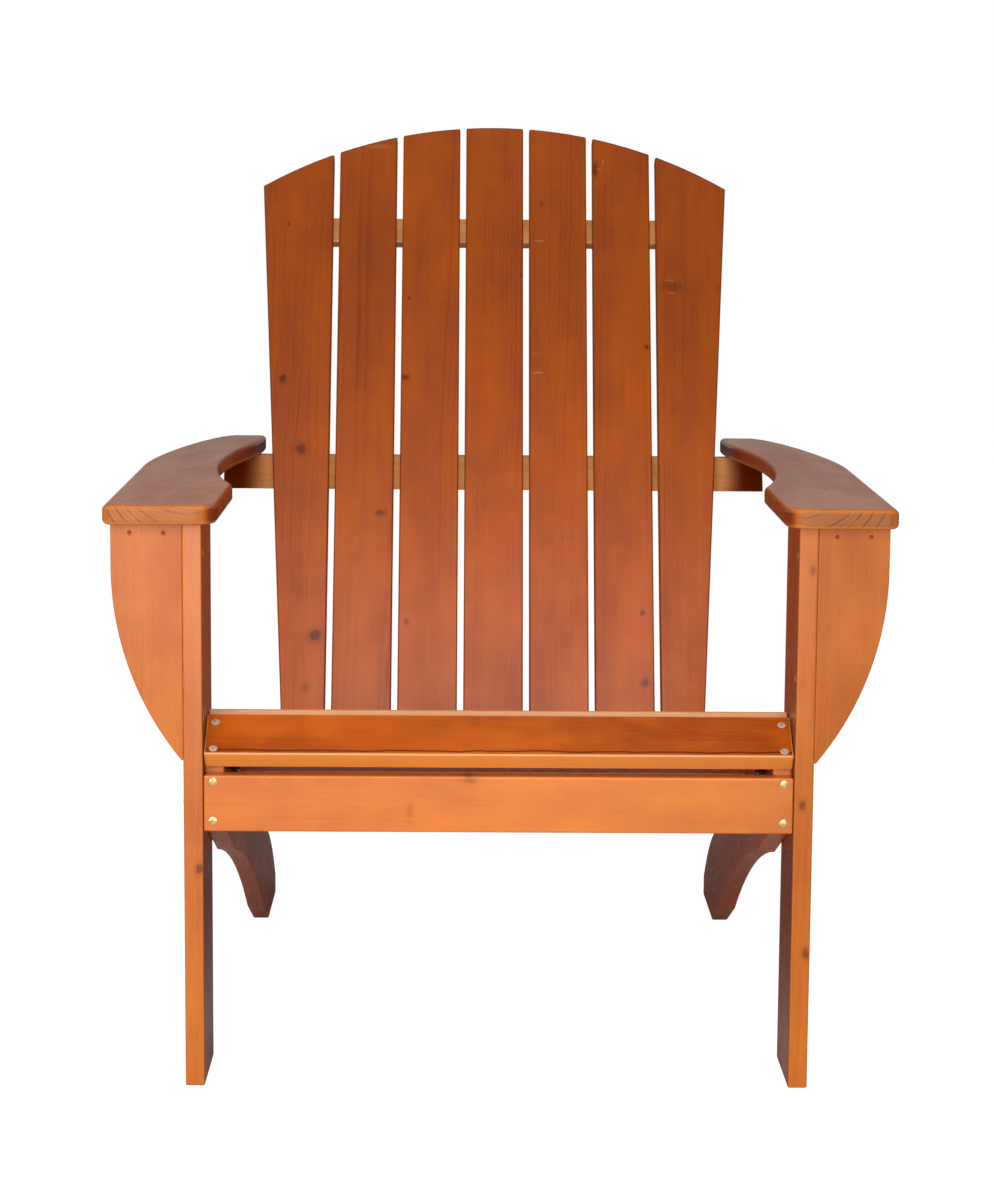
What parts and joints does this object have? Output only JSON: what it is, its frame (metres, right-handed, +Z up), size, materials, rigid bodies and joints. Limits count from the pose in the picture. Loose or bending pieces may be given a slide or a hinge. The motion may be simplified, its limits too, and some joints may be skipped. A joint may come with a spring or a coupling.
{
  "type": "adirondack chair",
  "caption": "Fixed wooden adirondack chair with sloping slatted seat, fan-topped slatted back, wide curved armrests on shaped brackets, front legs and swept rear side rails.",
  "frame": {"origin": "on the floor, under the centre of the chair's outline seen from above", "axes": "+X to the sitter's left, +Y to the rear, +Z up; the chair faces -Y"},
  "size_m": [0.749, 0.8664, 0.9218],
  "materials": {
    "stained_pine": "semi-gloss honey stain over pine, fine long grain, small knots",
    "stained_pine_rail": "thin honey stain over rougher pine",
    "brass_screw": "yellow zinc plated screw with cross recess",
    "zinc_steel": "bright zinc plated steel"
  },
  "bodies": {
    "root": {"apron_screws": "brass_screw", "arm_bracket_left": "stained_pine", "arm_bracket_right": "stained_pine", "arm_rail": "stained_pine_rail", "arm_rail_screws": "brass_screw", "armrest_left": "stained_pine", "armrest_right": "stained_pine", "armrest_screws": "brass_screw", "back_slat_1": "stained_pine", "back_slat_2": "stained_pine", "back_slat_3": "stained_pine", "back_slat_4": "stained_pine", "back_slat_5": "stained_pine", "back_slat_6": "stained_pine", "back_slat_7": "stained_pine", "bracket_nails": "zinc_steel", "bracket_screws": "brass_screw", "foot_rail": "stained_pine_rail", "foot_rail_end_screws": "brass_screw", "foot_rail_screws": "brass_screw", "front_apron": "stained_pine", "front_leg_left": "stained_pine", "front_leg_right": "stained_pine", "front_seat_slat": "stained_pine", "front_slat_screws": "brass_screw", "leg_bolts": "zinc_steel", "leg_nuts": "zinc_steel", "leg_washers": "zinc_steel", "seat_slat_1": "stained_pine", "seat_slat_2": "stained_pine", "seat_slat_3": "stained_pine", "seat_slat_4": "stained_pine", "seat_slat_5": "stained_pine", "seat_slat_6": "stained_pine", "seat_slat_7": "stained_pine", "seat_slat_8": "stained_pine", "seat_slat_screws": "brass_screw", "side_rail_left": "stained_pine", "side_rail_right": "stained_pine", "upper_back_rail": "stained_pine_rail", "upper_rail_screws": "brass_screw"}
  },
  "joints": []
}
